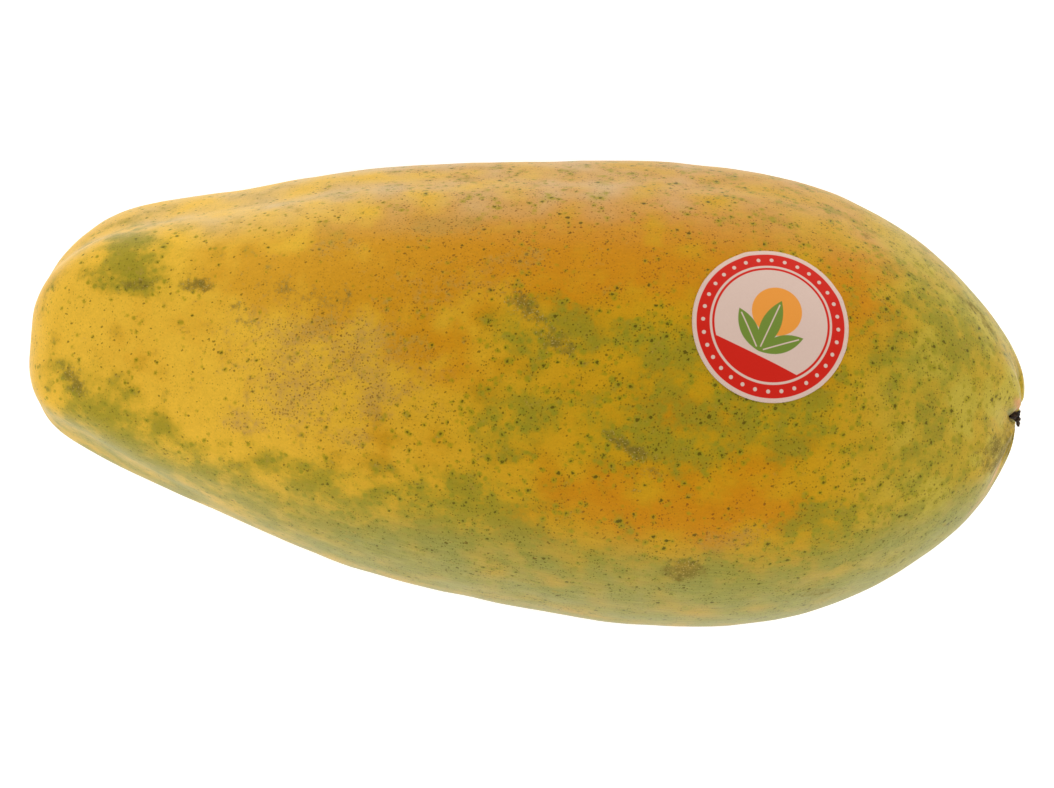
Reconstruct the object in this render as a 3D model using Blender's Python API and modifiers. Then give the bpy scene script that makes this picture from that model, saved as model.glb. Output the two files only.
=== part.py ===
"""A large long papaya, whole and ripe, lying on its side.

The fruit is one solid. A ball is drawn out to a smooth outline, then raised and
sunk by formulas: five shallow lobes, a furrow along one side, a round stem scar
in a dish at the narrow end, and a puckered star with a pit at the blossom end.
The dried remnant of the flower stands in that pit, and a plain round label is
stuck on the upper side.

+X runs from the stem end to the blossom end and +Z is up. The origin is the
middle of the bounding box, at the level of the surface that the fruit rests on.
"""

import math

import bmesh
import bpy
from mathutils import Matrix, Vector

MM = 0.001

# The fruit's outline, as millimetres along its axis and out from it.
FRUIT_LENGTH = 260.0
OUTLINE = (
    (0.0, 0.0),
    (1.0, 12.0),
    (6.0, 22.3),
    (17.0, 30.4),
    (33.0, 36.8),
    (50.0, 41.6),
    (66.0, 46.8),
    (90.0, 53.0),
    (130.0, 58.3),
    (168.0, 60.8),
    (200.0, 57.4),
    (225.0, 47.2),
    (243.0, 33.0),
    (255.0, 17.8),
    (FRUIT_LENGTH, 0.0),
)
BOW_TO_STEM = 4.6
BOW_TO_TIP = 3.1
STEM_OFFSET = 4.3
STEM_OFFSET_SPREAD = 12.0
REST_PITCH_DEG = 5.2
REST_SPOT_DEPTH = 1.3
SIDES = 72
RINGS = 54
RING_CROWDING = 0.8

# The five lobes: where the first ridge lies, in degrees from the top of the
# fruit towards +Y, and how far the ridges rise along the fruit.
LOBES = 5
RIDGE_DEG = 34.0
RIDGE_RISE = 0.8
SHOULDER_RISE = 1.1
SHOULDER_AT = 38.0
SHOULDER_SPREAD = 42.0
STEM_LOBES_START = (6.0, 40.0)
NOSE_RISE = 0.4
NOSE_AT = 13.0
NOSE_SPREAD = 10.0
NOSE_LOBES_START = (0.0, 10.0)
NOSE_LEAN = 1.1
NOSE_LEAN_DEG = 104.0
NOSE_LEAN_AT = 10.0
NOSE_LEAN_SPREAD = 10.0
UNDERSIDE_FLATTENING = 1.6
UNDERSIDE_SPREAD_DEG = 34.0
UNDERSIDE_ENDS = (10.0, 70.0)

# A furrow along the +Y side, from the stem's shoulder to the widest part.
FURROW_DEG = 69.0
FURROW_DEPTH = 1.3
FURROW_WIDTH = 7.0
FURROW_STEM_END = (12.0, 45.0)
FURROW_TIP_END = (60.0, 125.0)

# The stem end: a dish with the corky ring and hollow that the stalk left.
DISH_DEPTH = 2.2
DISH_RADIUS = 8.5
DISH_SLOPE = 3.5
SCAR_RING_RADIUS = 5.0
SCAR_RING_RISE = 1.0
SCAR_RING_WIDTH = 1.4
SCAR_HOLLOW_DEPTH = 1.5
SCAR_HOLLOW_RADIUS = 3.0

# The blossom end: a pit with a crease running out of it between each two lobes.
PIT_DEPTH = 3.2
PIT_RADIUS = 2.5
CREASE_DEPTH = 1.9
CREASE_WIDTH = 1.0
CREASE_START = 2.2
CREASE_END = 12.0

# The dried remnant of the flower, a stub with five curled rays.
STUB_RADIUS = 1.25
STUB_LENGTH = 3.0
STUB_CLEARANCE = 0.4
STUB_FLATNESS = 0.85
RAY_START = 0.5
RAY_ROOT_RADIUS = 0.7
RAY_TIP_RADIUS = 0.35
RAY_TURN_DEG = (20.0, 92.0, 164.0, 236.0, 280.0)
RAY_LEAN_DEG = (62.0, 54.0, 66.0, 50.0, 72.0)
RAY_LENGTHS = (1.7, 1.6, 1.8, 1.7, 3.1)

# The label, where its centre lies along the fruit and around from the top.
LABEL_DIAMETER = 40.0
LABEL_ALONG = 196.0
LABEL_AROUND_DEG = 20.5
LABEL_DROP = 90.0
LABEL_SIDES = 48
LABEL_RINGS = 6
LABEL_THICKNESS = 0.4
LABEL_GAP = 0.35

SKIN_COLOUR = (0.62, 0.42, 0.05)
REMNANT_COLOUR = (0.035, 0.018, 0.01)
LABEL_COLOUR = (0.72, 0.56, 0.47)


def clear_scene():
    for thing in list(bpy.data.objects):
        bpy.data.objects.remove(thing)


def collection(name):
    made = bpy.data.collections.new(name)
    bpy.context.scene.collection.children.link(made)
    return made


def material(name, colour, roughness):
    made = bpy.data.materials.new(name)
    made.use_nodes = True
    shader = made.node_tree.nodes["Principled BSDF"]
    shader.inputs["Base Color"].default_value = (*colour, 1.0)
    shader.inputs["Roughness"].default_value = roughness
    return made


def new_object(name, mesh_maker, group):
    """An object of this name whose mesh the bmesh comes to hold."""
    mesh = bpy.data.meshes.new(name)
    mesh_maker.to_mesh(mesh)
    mesh_maker.free()
    made = bpy.data.objects.new(name, mesh)
    group.objects.link(made)
    return made


def smooth_step(low, high, value):
    share = min(1.0, max(0.0, (value - low) / (high - low)))
    return share * share * (3.0 - 2.0 * share)


def bump(value, centre, spread):
    return math.exp(-(((value - centre) / spread) ** 2))


class Outline:
    """The smooth curve through OUTLINE, read by the share of its length."""

    STEPS = 40

    def __init__(self):
        points = [Vector(point) for point in OUTLINE]
        before = Vector((points[1].x, -points[1].y))
        after = Vector((points[-2].x, -points[-2].y))
        points = [before, *points, after]
        self.points = [points[1]]
        for i in range(1, len(points) - 2):
            for step in range(1, self.STEPS + 1):
                self.points.append(self.between(points[i - 1 : i + 3], step / self.STEPS))
        self.lengths = [0.0]
        for a, b in zip(self.points, self.points[1:]):
            self.lengths.append(self.lengths[-1] + (b - a).length)
        self.length = self.lengths[-1]

    @staticmethod
    def between(corners, share):
        """A centripetal Catmull-Rom curve between the middle two of four points."""
        knots = [0.0]
        for a, b in zip(corners, corners[1:]):
            knots.append(knots[-1] + math.sqrt((b - a).length))
        at = knots[1] + (knots[2] - knots[1]) * share

        def mixed(a, b, low, high):
            return a.lerp(b, (at - low) / (high - low))

        level = [mixed(corners[i], corners[i + 1], knots[i], knots[i + 1]) for i in range(3)]
        level = [mixed(level[i], level[i + 1], knots[i], knots[i + 2]) for i in range(2)]
        return mixed(level[0], level[1], knots[1], knots[2])

    def at(self, share):
        """The point there, the outward direction, and the length run to it."""
        run = share * self.length
        i = 0
        while i < len(self.lengths) - 2 and self.lengths[i + 1] < run:
            i += 1
        step = self.lengths[i + 1] - self.lengths[i]
        point = self.points[i].lerp(self.points[i + 1], (run - self.lengths[i]) / step)
        ahead = self.points[min(i + 2, len(self.points) - 1)]
        along = (ahead - self.points[max(i - 1, 0)]).normalized()
        return point, Vector((-along.y, along.x)), run


def lobe_wave(around):
    return math.cos(LOBES * (around - math.radians(RIDGE_DEG)))


def lobe_relief(around, from_stem, from_tip):
    rise = RIDGE_RISE
    rise += SHOULDER_RISE * bump(from_stem, SHOULDER_AT, SHOULDER_SPREAD)
    rise += NOSE_RISE * bump(from_tip, NOSE_AT, NOSE_SPREAD)
    rise *= smooth_step(*STEM_LOBES_START, from_stem)
    rise *= smooth_step(*NOSE_LOBES_START, from_tip)
    lean = NOSE_LEAN * math.cos(around - math.radians(NOSE_LEAN_DEG))
    lean *= bump(from_tip, NOSE_LEAN_AT, NOSE_LEAN_SPREAD)
    return rise * lobe_wave(around) + lean


def furrow_relief(around, radius, from_stem, from_tip):
    off_furrow = (around - math.radians(FURROW_DEG)) * radius
    depth = FURROW_DEPTH * smooth_step(*FURROW_STEM_END, from_stem) * smooth_step(*FURROW_TIP_END, from_tip)
    return -depth * bump(off_furrow, 0.0, FURROW_WIDTH)


def stem_relief(from_stem):
    """The dish, the raised ring and the hollow inside it."""
    dish = 1.0 - smooth_step(DISH_RADIUS - DISH_SLOPE, DISH_RADIUS + DISH_SLOPE, from_stem)
    ring = bump(from_stem, SCAR_RING_RADIUS, SCAR_RING_WIDTH)
    hollow = bump(from_stem, 0.0, SCAR_HOLLOW_RADIUS)
    return SCAR_RING_RISE * ring - DISH_DEPTH * dish - SCAR_HOLLOW_DEPTH * hollow


def blossom_relief(around, radius, from_tip):
    """The pit, and the creases that run out of it in the valleys."""
    pit = math.exp(-((from_tip / PIT_RADIUS) ** 4))
    turn = 2.0 * math.pi / LOBES
    valley = math.radians(RIDGE_DEG) + turn / 2.0
    off_valley = (around - valley + turn / 2.0) % turn - turn / 2.0
    crease = math.exp(-((off_valley * radius / CREASE_WIDTH) ** 2))
    crease *= smooth_step(0.0, CREASE_START, from_tip)
    crease *= 1.0 - smooth_step(CREASE_START, CREASE_END, from_tip)
    return -PIT_DEPTH * pit - CREASE_DEPTH * crease


def underside_relief(around, from_stem, from_tip):
    """The side that the fruit lay on while it ripened is a little flatter."""
    off_bottom = math.degrees((around % (2.0 * math.pi)) - math.pi)
    under = math.exp(-((off_bottom / UNDERSIDE_SPREAD_DEG) ** 2))
    inland = smooth_step(*UNDERSIDE_ENDS, from_stem) * smooth_step(*UNDERSIDE_ENDS, from_tip)
    return -UNDERSIDE_FLATTENING * under * inland


def bow(along):
    """How far the fruit's middle line lies to the +Y side there."""
    from_middle = 2.0 * along / FRUIT_LENGTH - 1.0
    side = BOW_TO_STEM if from_middle < 0.0 else BOW_TO_TIP
    return side * from_middle**2 - STEM_OFFSET * bump(along, 0.0, STEM_OFFSET_SPREAD)


def skin_point(outline, share, around):
    """A point of the skin in the fruit's own frame, in millimetres."""
    (along, radius), (lean_along, lean_out), from_stem = outline.at(share)
    from_tip = outline.length - from_stem
    raised = lobe_relief(around, from_stem, from_tip)
    raised += furrow_relief(around, radius, from_stem, from_tip)
    raised += stem_relief(from_stem)
    raised += blossom_relief(around, radius, from_tip)
    raised += underside_relief(around, from_stem, from_tip)
    out = radius + lean_out * raised
    along += lean_along * raised
    return Vector((along, out * math.sin(around) + bow(along), out * math.cos(around)))


def resting():
    """Turns the fruit's own frame to how it lies, blossom end slightly up."""
    return Matrix.Rotation(math.radians(-REST_PITCH_DEG), 4, "Y")


def fruit_body(group):
    """A ball whose vertices are moved to the skin, flat where it rests."""
    outline = Outline()
    ball = bmesh.new()
    bmesh.ops.create_uvsphere(ball, u_segments=SIDES, v_segments=RINGS, radius=1.0)
    for vertex in ball.verts:
        height = min(1.0, max(-1.0, vertex.co.z))
        share = 1.0 - math.acos(height) / math.pi
        share -= RING_CROWDING * math.sin(2.0 * math.pi * share) / (2.0 * math.pi)
        around = math.atan2(vertex.co.x, vertex.co.y)
        vertex.co = resting() @ (skin_point(outline, share, around) * MM)
    lowest = min(vertex.co.z for vertex in ball.verts) + REST_SPOT_DEPTH * MM
    for vertex in ball.verts:
        vertex.co.z = max(vertex.co.z, lowest)
    made = new_object("papaya", ball, group)
    made.data.materials.append(material("papaya_skin", SKIN_COLOUR, 0.45))
    made.data.shade_smooth()
    return made


def dried_ray(name, turn_deg, lean_deg, length, group):
    """One ray of the dried stigma, a tapered stick that leans outwards."""
    stick = bmesh.new()
    bmesh.ops.create_cone(
        stick,
        cap_ends=True,
        segments=7,
        radius1=RAY_ROOT_RADIUS * MM,
        radius2=RAY_TIP_RADIUS * MM,
        depth=length,
        matrix=Matrix.Translation((0.0, 0.0, length / 2.0)),
    )
    lean = Matrix.Rotation(math.radians(lean_deg), 4, "Y")
    turn = Matrix.Rotation(math.radians(turn_deg), 4, "Z")
    bmesh.ops.transform(stick, matrix=turn @ lean, verts=stick.verts)
    return new_object(name, stick, group)


def blossom_remnant(group, pieces):
    """The stub in the blossom pit, with its rays joined to it."""
    stub = bmesh.new()
    bmesh.ops.create_uvsphere(stub, u_segments=14, v_segments=9, radius=STUB_RADIUS * MM)
    bmesh.ops.scale(stub, vec=(1.0, STUB_FLATNESS, STUB_LENGTH / STUB_RADIUS / 2.0), verts=stub.verts)
    made = new_object("blossom_remnant", stub, group)
    for i, (turn_deg, lean_deg, length) in enumerate(zip(RAY_TURN_DEG, RAY_LEAN_DEG, RAY_LENGTHS)):
        ray = dried_ray(f"ray_{i + 1}", turn_deg, lean_deg, length * MM, pieces)
        ray.location.z = RAY_START * MM
        ray.parent = made
        ray.hide_render = True
        ray.display_type = "WIRE"
    join = made.modifiers.new("Join rays", "BOOLEAN")
    join.operation = "UNION"
    join.operand_type = "COLLECTION"
    join.collection = pieces
    made.data.materials.append(material("dried_remnant", REMNANT_COLOUR, 0.8))
    floor_of_pit = FRUIT_LENGTH - PIT_DEPTH
    middle = floor_of_pit + STUB_CLEARANCE + STUB_LENGTH / 2.0
    made.matrix_world = (
        resting()
        @ Matrix.Translation(Vector((middle, bow(FRUIT_LENGTH), 0.0)) * MM)
        @ Matrix.Rotation(math.radians(90.0), 4, "Y")
    )
    return made


def round_label(group, fruit):
    """A thin disc projected on the skin and then thickened outwards."""
    disc = bmesh.new()
    radius = LABEL_DIAMETER / 2.0 * MM
    bmesh.ops.create_circle(disc, cap_ends=True, segments=LABEL_SIDES, radius=radius)
    disc.faces.ensure_lookup_table()
    inner = disc.faces[0]
    step = radius / (LABEL_RINGS + 1)
    for _ in range(LABEL_RINGS):
        bmesh.ops.inset_region(disc, faces=[inner], thickness=step, use_boundary=True)
    bmesh.ops.poke(disc, faces=[inner])
    made = new_object("label", disc, group)
    made.data.materials.append(material("label_paper", LABEL_COLOUR, 0.6))
    around = math.radians(LABEL_AROUND_DEG)
    above = Vector((LABEL_ALONG, LABEL_DROP * math.sin(around), LABEL_DROP * math.cos(around)))
    made.matrix_world = (
        resting() @ Matrix.Translation(above * MM) @ Matrix.Rotation(-around, 4, "X")
    )
    wrap = made.modifiers.new("Lay on skin", "SHRINKWRAP")
    wrap.target = fruit
    wrap.wrap_method = "PROJECT"
    wrap.use_project_z = True
    wrap.use_negative_direction = True
    wrap.wrap_mode = "ABOVE_SURFACE"
    wrap.offset = LABEL_GAP * MM
    thicken = made.modifiers.new("Paper", "SOLIDIFY")
    thicken.thickness = LABEL_THICKNESS * MM
    thicken.offset = 1.0
    return made


def stand_on_origin(parts, fruit):
    """Moves everything so that the rest spot is at height 0 and the box is centred."""
    low = Vector(min(vertex.co[axis] for vertex in fruit.data.vertices) for axis in range(3))
    high = Vector(max(vertex.co[axis] for vertex in fruit.data.vertices) for axis in range(3))
    middle = (low + high) / 2.0
    shift = Matrix.Translation((-middle.x, -middle.y, -low.z))
    for part in parts:
        part.matrix_world = shift @ part.matrix_world


def main():
    clear_scene()
    group = collection("papaya")
    pieces = collection("remnant rays")
    fruit = fruit_body(group)
    remnant = blossom_remnant(group, pieces)
    label = round_label(group, fruit)
    bpy.context.view_layer.update()
    stand_on_origin((fruit, remnant, label), fruit)
    bpy.context.view_layer.update()


main()
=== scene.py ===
"""The looks of a large long papaya, laid out as an add-on and run as a script.

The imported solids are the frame. The fruit, the dried flower remnant in its
blossom pit and the round label on its side are each replaced by a finer piece
of the same form, with a finish built from nodes. +X runs from the stem end to
the blossom end, +Z is up, and the camera looks straight down.
"""

import math

import bmesh
import bpy
import numpy as np
from bpy.props import FloatProperty, FloatVectorProperty, IntProperty, PointerProperty
from bpy.types import Operator, Panel, PropertyGroup
from mathutils import Matrix, Vector, noise
from mathutils.bvhtree import BVHTree


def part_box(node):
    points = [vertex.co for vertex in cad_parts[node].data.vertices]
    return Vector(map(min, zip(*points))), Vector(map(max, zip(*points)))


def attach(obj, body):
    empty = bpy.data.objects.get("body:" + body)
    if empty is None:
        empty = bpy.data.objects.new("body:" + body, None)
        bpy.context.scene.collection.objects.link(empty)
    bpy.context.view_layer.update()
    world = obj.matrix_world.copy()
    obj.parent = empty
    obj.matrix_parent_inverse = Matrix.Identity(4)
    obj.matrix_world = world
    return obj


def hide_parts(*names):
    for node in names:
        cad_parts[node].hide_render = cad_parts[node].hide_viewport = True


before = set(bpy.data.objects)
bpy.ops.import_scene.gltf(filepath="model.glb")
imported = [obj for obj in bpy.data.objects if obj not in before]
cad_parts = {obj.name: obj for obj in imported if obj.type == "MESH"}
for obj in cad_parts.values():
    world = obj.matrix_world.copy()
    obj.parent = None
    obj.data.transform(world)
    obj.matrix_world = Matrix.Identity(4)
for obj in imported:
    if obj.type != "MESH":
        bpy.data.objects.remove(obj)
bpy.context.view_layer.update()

bl_info = {
    "name": "Papaya",
    "version": (1, 0, 0),
    "blender": (4, 5, 0),
    "location": "View3D > Sidebar > Papaya",
    "description": "Skin, dried flower remnant and round label of a large papaya",
    "category": "Object",
}

MM = 0.001
MM_PER_CM = 10.0
LOBES = 5
FIRST_VALLEY_DEG = -2.0
# The valleys that close up away from the pit: the turn that each lies at, and
# the distance from the pit in millimetres where it begins to.
CLOSED_VALLEYS = ((70.0, 7.0), (-74.0, 2.5))

# How far each end reaches along the fruit, for what is drawn at one end only.
NOSE_REACH = 40.0 * MM
PIT_REACH = 20.0 * MM
SCAR_REACH = 12.0 * MM
NOSE_MARK_REACH = 60.0 * MM

# Ranges over which the fine relief fades: out from the middle of the scar or of
# the pit, or along from the end.
SCAR_FADE = (6.0 * MM, 14.0 * MM)
STEM_FADE = (8.0 * MM, 14.0 * MM)
NECK_FADE = (100.0 * MM, 200.0 * MM)
VALLEY_FADE = (30.0 * MM, 50.0 * MM)
TIP_FADE = (1.0 * MM, 9.0 * MM)
# Ranges over which the cork gives way to the skin, and its dark bottom to the cork.
SCAR_CORK = (5.5 * MM, 8.0 * MM)
PIT_CORK = (1.5 * MM, 4.5 * MM)
BOTTOM_EDGE = (1.0 * MM, 3.0 * MM)

# Stretches along the fruit over which its colours change, in millimetres.
RIPENING = (-95.0, 30.0)
NECK_END = (-85.0, -30.0)
CROWDING = (-75.0, 0.0)
GREENING = (-60.0, 60.0)
# Stretch over which the painted sheen on the +Y side weakens towards the blossom end.
PAINTED_SHEEN_END = (15.0, 60.0)
NOSE_START = (72.0, 110.0)

# Solids are welded and their triangles paired below these limits.
WELD_DISTANCE = 0.001 * MM
PAIR_BEND_DEG = 40.0
PAIR_SKEW_DEG = 60.0

# Sizes of the skin's noise and distances between its specks, in millimetres.
MOTTLE_SIZE = 1.7
GRAIN_SIZE = 0.5
STREAK_WIDTH = 0.9
SPOT_SPACING = 2.4
DOT_SPACING = 1.25
STIPPLE_SPACING = 0.9
PIN_SPACING = 0.65
# Turn that keeps the specks out of rows along the fruit, in radians.
SPECK_SLANT = (0.5, 0.4, 0.7)
# How far the skin's unevenness pushes the specks about, in millimetres.
SPECK_PUSH = (0.7, 0.5, 0.6)
# Factors along each axis that draw a pattern out along the piece.
STREAK_STRETCH = (0.07, 1.0, 1.0)
FIBRE_STRETCH = (0.3, 1.0, 1.0)
PAPER_STRETCH = (0.4, 1.0, 1.0)

# The soft lights' places and size and the floor's half width, in metres.
KEY_PLACE = (-0.1, 1.0, 0.5)
FILL_PLACE = (0.1, -1.0, 0.5)
LIGHT_SIZE = (1.4, 0.6)
LIT_POINT = (0.0, 0.0, 0.06)
FLOOR_HALF_WIDTH = 3.0
SENSOR_WIDTH_MM = 36.0
# Heights of a ray, from 0 level to 1 upright, between which the tent's wall ends.
TENT_OPENING = (0.35, 0.95)
WHITE = (1.0, 1.0, 1.0, 1.0)

# Marks on the side shown: centre along the fruit and across it as seen from
# above, half length, half width, turn from the fruit's length, and strength.
GREEN_MARKS = (
    (-102, 24, 14, 8, 5, 1.0),
    (-98, 16, 13, 3, 0, 0.9),
    (-106, -20, 16, 10, -35, 1.0),
    (-90, -28, 14, 5, -25, 0.9),
    (-66, -36, 26, 6, -18, 0.9),
    (28, 14, 13, 5, 0, 0.85),
    (-118, -9, 5, 4, -50, 0.7),
    (2, 13, 14, 7, 0, 0.9),
    (0, -10, 13, 9, 5, 0.85),
    (22, -11, 11, 7, 0, 0.8),
    (-60, -28, 12, 5, -12, 0.75),
    (-42, -34, 14, 6, -8, 0.85),
    (-84, -24, 9, 5, -20, 0.6),
    (-12, -27, 12, 4, 0, 0.5),
    (13, -45, 13, 5, 0, 0.65),
    (105, -17, 10, 8, 0, 0.6),
    (-16, -36, 27, 9, 5, 0.9),
    (45, 1, 17, 13, 0, 0.85),
    (62, -9, 9, 6, -55, 0.85),
    (41, -14, 10, 7, 5, 0.85),
    (74, -2, 7, 6, 0, 0.9),
    (81, -33, 14, 8, 15, 0.95),
    (57, -46, 12, 5, 5, 0.8),
    (96, 4, 18, 18, 0, 0.4),
    (110, 22, 9, 14, -35, 0.6),
    (94, 12, 8, 5, 0, 0.6),
    (96, 34, 11, 7, -45, 0.6),
)
CLEAR_MARKS = (
    (-57, 21, 30, 9, 3, 1.0),
    (-20, 33, 26, 11, 3, 0.95),
    (24, 36, 32, 12, 2, 1.0),
    (80, 32, 12, 12, -30, 0.5),
    (-94, 2, 24, 10, 0, 0.9),
    (-68, -8, 15, 9, 0, 0.8),
    (-72, -29, 18, 6, -15, 0.5),
    (-24, 5, 13, 9, 0, 0.75),
    (33, -27, 22, 9, 10, 0.6),
    (49, -32, 14, 6, 12, 0.8),
    (61, -22, 8, 9, 0, 0.9),
)
WARM_MARKS = (
    (-57, 20, 26, 9, 3, 0.95),
    (-25, 31, 23, 12, 4, 1.0),
    (22, 36, 31, 12, 2, 1.0),
    (85, 31, 12, 13, -30, 0.7),
    (-25, 5, 14, 10, 0, 0.55),
    (32, -27, 25, 10, 10, 0.65),
    (50, -31, 15, 7, 12, 0.7),
    (61, -22, 8, 9, 0, 0.75),
    (8, -22, 5, 15, 12, 0.4),
    (42, -4, 13, 4, 5, 0.7),
    (5, 57, 62, 10, 0, 0.45),
)
RUSSET_MARKS = (
    (-25, 38, 11.5, 2.8, 8, 1.0),
    (-47, 31, 2.8, 1.6, 5, 0.8),
    (-54, 29, 4.0, 3.0, 5, 0.6),
    (-58, 7, 9.0, 3.8, 5, 0.85),
    (-58, -8, 10.0, 9.0, 5, 0.85),
    (-42, 4, 7.0, 7.0, 5, 0.8),
    (-38, -8, 4.0, 5.5, 5, 0.95),
    (-42, -18, 5.5, 2.6, 5, 0.8),
    (-71, -17, 5.5, 2.4, -8, 0.95),
    (-4, 31, 8.5, 2.4, 12, 0.6),
    (56, -35, 8.0, 3.2, 15, 0.85),
    (-20, 22, 13.0, 5.0, 5, 0.45),
    (-50, 6, 26.0, 14.0, 0, 0.42),
    (-28, -2, 9.0, 8.0, 0, 0.4),
)
SCUFF_MARKS = (
    (-85, 17, 5.5, 1.9, 0, 0.95),
    (-101, 16, 5.5, 1.4, 5, 0.75),
    (-75, 13, 1.8, 1.3, 30, 0.8),
    (-72, 8, 2.6, 1.3, -30, 0.7),
    (-116, -10, 5.6, 2.4, -47, 0.85),
    (-1, 18, 6.5, 3.0, -35, 0.95),
    (7, 11, 6.0, 3.4, -30, 0.8),
    (27, -14, 7.0, 2.0, -28, 0.9),
    (33, -20, 2.4, 1.4, 5, 0.8),
    (30, -25, 2.6, 1.0, 5, 0.6),
    (45, -44, 5.5, 3.0, 10, 1.0),
    (-62, 18, 10.0, 3.2, -12, 0.5),
    (-48, 17, 7.0, 4.0, 0, 0.5),
    (84, 45, 1.6, 1.1, 5, 0.9),
    (81, -47, 5.5, 1.2, 13, 0.8),
)

# Marks around the blossom pit: distance from it, turn from the top towards +Y,
# half length outwards, half width round, and strength.
NOSE_SCUFFS = (
    (8.0, -70, 6.0, 6.0, 1.0),
    (14.0, -40, 7.0, 6.0, 1.0),
    (20.0, -30, 6.0, 4.5, 0.8),
    (28.0, 62, 6.0, 3.0, 0.7),
)
NOSE_SCARS = (
    (15.0, -72, 5.0, 1.5, 1.0),
    (23.0, -76, 3.5, 1.0, 0.6),
    (7.5, 28, 3.5, 1.2, 1.0),
)


def length(name, description, millimetres):
    return FloatProperty(name=name, description=description, default=millimetres * MM, unit="LENGTH")


def number(name, description, value):
    return FloatProperty(name=name, description=description, default=value)


def angle(name, description, degrees):
    return FloatProperty(
        name=name, description=description, default=math.radians(degrees), unit="ROTATION"
    )


def colour(name, description, rgb):
    return FloatVectorProperty(
        name=name, description=description, default=rgb, size=3, min=0.0, max=1.0, subtype="COLOR"
    )


class PAPAYA_PG_form(PropertyGroup):
    """Sizes of the fruit's fine relief."""

    smoothness: IntProperty(name="Smoothness", description="Subdivision of the solids", default=2)
    rest_pitch: angle("Rest pitch", "How far the blossom end is raised as the fruit lies", 5.2)
    stem_side: length("Stem side shift", "The scar's middle lies this far to -Y of the pit's", 2.8)
    dent_size: length("Dent size", "Width of the soft dents all over the skin", 17.0)
    dent_depth: length("Dent depth", "Depth of the soft dents", 0.28)
    ripple_size: length("Ripple size", "Width of the fine unevenness of the skin", 5.0)
    ripple_depth: length("Ripple depth", "Depth of the fine unevenness", 0.05)
    crease_width: length("Crease width", "Width of the sharp creases at the blossom end", 0.45)
    crease_depth: length("Crease depth", "Depth of the sharp creases", 0.7)
    crease_reach: length("Crease reach", "How far the sharp creases run from the pit", 9.0)
    valley_fill: length("Valley fill", "How much the closed valleys are raised", 1.3)
    valley_fill_width: angle("Valley fill width", "How far round each closed valley is raised", 22.0)
    pucker_depth: length("Pucker depth", "Height of the small folds around the pit", 0.12)
    nose_inset: length("Nose inset", "How far the blossom end is drawn in under its relief", 0.25)
    crumple_size: length("Crumple size", "Width of the remnant's crumples", 0.7)
    crumple_depth: length("Crumple depth", "Depth of the remnant's crumples", 0.22)


class PAPAYA_PG_colours(PropertyGroup):
    """Colours of the skin and of the dried remnant."""

    yellow: colour("Yellow", "Ground colour towards the stem", (0.77, 0.45, 0.034))
    amber: colour("Amber", "Ground colour towards the blossom end", (0.55, 0.29, 0.005))
    orange: colour("Orange", "Ripest ground colour", (0.55, 0.22, 0.002))
    olive: colour("Olive", "Unripe patches", (0.32, 0.25, 0.005))
    leaf: colour("Green", "Greenest parts of the unripe patches", (0.25, 0.235, 0.012))
    # Partly the fruit's own pale green on the -Y side and partly painted sheen, a whitish tint standing
    # in for the reflection along that side.
    pale: colour("Pale green", "The side that lay in the shade", (0.285, 0.275, 0.068))
    fresh: colour("Fresh green", "Ground colour around the blossom end", (0.48, 0.375, 0.035))
    pink: colour("Pink", "Healed scars at the blossom end", (0.66, 0.30, 0.14))
    # Painted sheen: a pale tint that stands in for the reflection of light along the side facing the key
    # light.
    painted_sheen: colour("Bloom", "Pale wax on the side that faced the sun", (0.57, 0.46, 0.26))
    green_dot: colour("Green dots", "Pores in yellow and green skin", (0.11, 0.08, 0.002))
    brown_dot: colour("Brown dots", "Pores in orange skin", (0.17, 0.05, 0.003))
    tan: colour("Tan", "Fine netting towards the stem", (0.50, 0.29, 0.06))
    russet: colour("Russet", "Fine netting towards the blossom end", (0.43, 0.235, 0.035))
    russet_dot: colour("Russet dots", "Pores in the netting", (0.22, 0.11, 0.015))
    scuff: colour("Scuff", "Rubbed grey-brown places", (0.165, 0.115, 0.015))
    fleck: colour("Flecks", "Pale flakes in the rubbed places", (0.56, 0.40, 0.11))
    cork: colour("Cork", "The scar and the rim of the pit", (0.25, 0.165, 0.065))
    hollow: colour("Hollow", "The bottom of the scar and of the pit", (0.06, 0.035, 0.015))
    dry_dark: colour("Dry dark", "Darkest fibres of the remnant", (0.012, 0.006, 0.004))
    dry_brown: colour("Dry brown", "Paler fibres of the remnant", (0.085, 0.045, 0.024))
    dry_tan: colour("Dry tan", "Palest scraps of the remnant", (0.24, 0.17, 0.11))


class PAPAYA_PG_label(PropertyGroup):
    """Sizes and colours of the label."""

    radius: length("Radius", "Half the label's width", 20.0)
    thickness: length("Thickness", "Paper and glue together", 0.14)
    rings: IntProperty(name="Rings", description="Rings of faces across the label", default=26)
    sides: IntProperty(name="Sides", description="Faces around the label", default=120)
    turn: angle("Turn", "How far the print is turned on the fruit", -20.0)
    wrinkle: length("Wrinkle", "Height of the small folds at the label's edge", 0.28)
    glue: length("Glue", "Gap between the label and the skin", 0.03)
    ground: colour("Ground", "Unprinted paper", (0.66, 0.475, 0.39))
    fibre: colour("Fibre", "Palest fibres of the paper", (0.82, 0.66, 0.57))
    red: colour("Red", "Printed band and foot", (0.60, 0.012, 0.003))
    green: colour("Green", "Printed leaves", (0.16, 0.24, 0.03))
    gold: colour("Gold", "Printed disc behind the leaves", (0.80, 0.30, 0.04))


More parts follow.
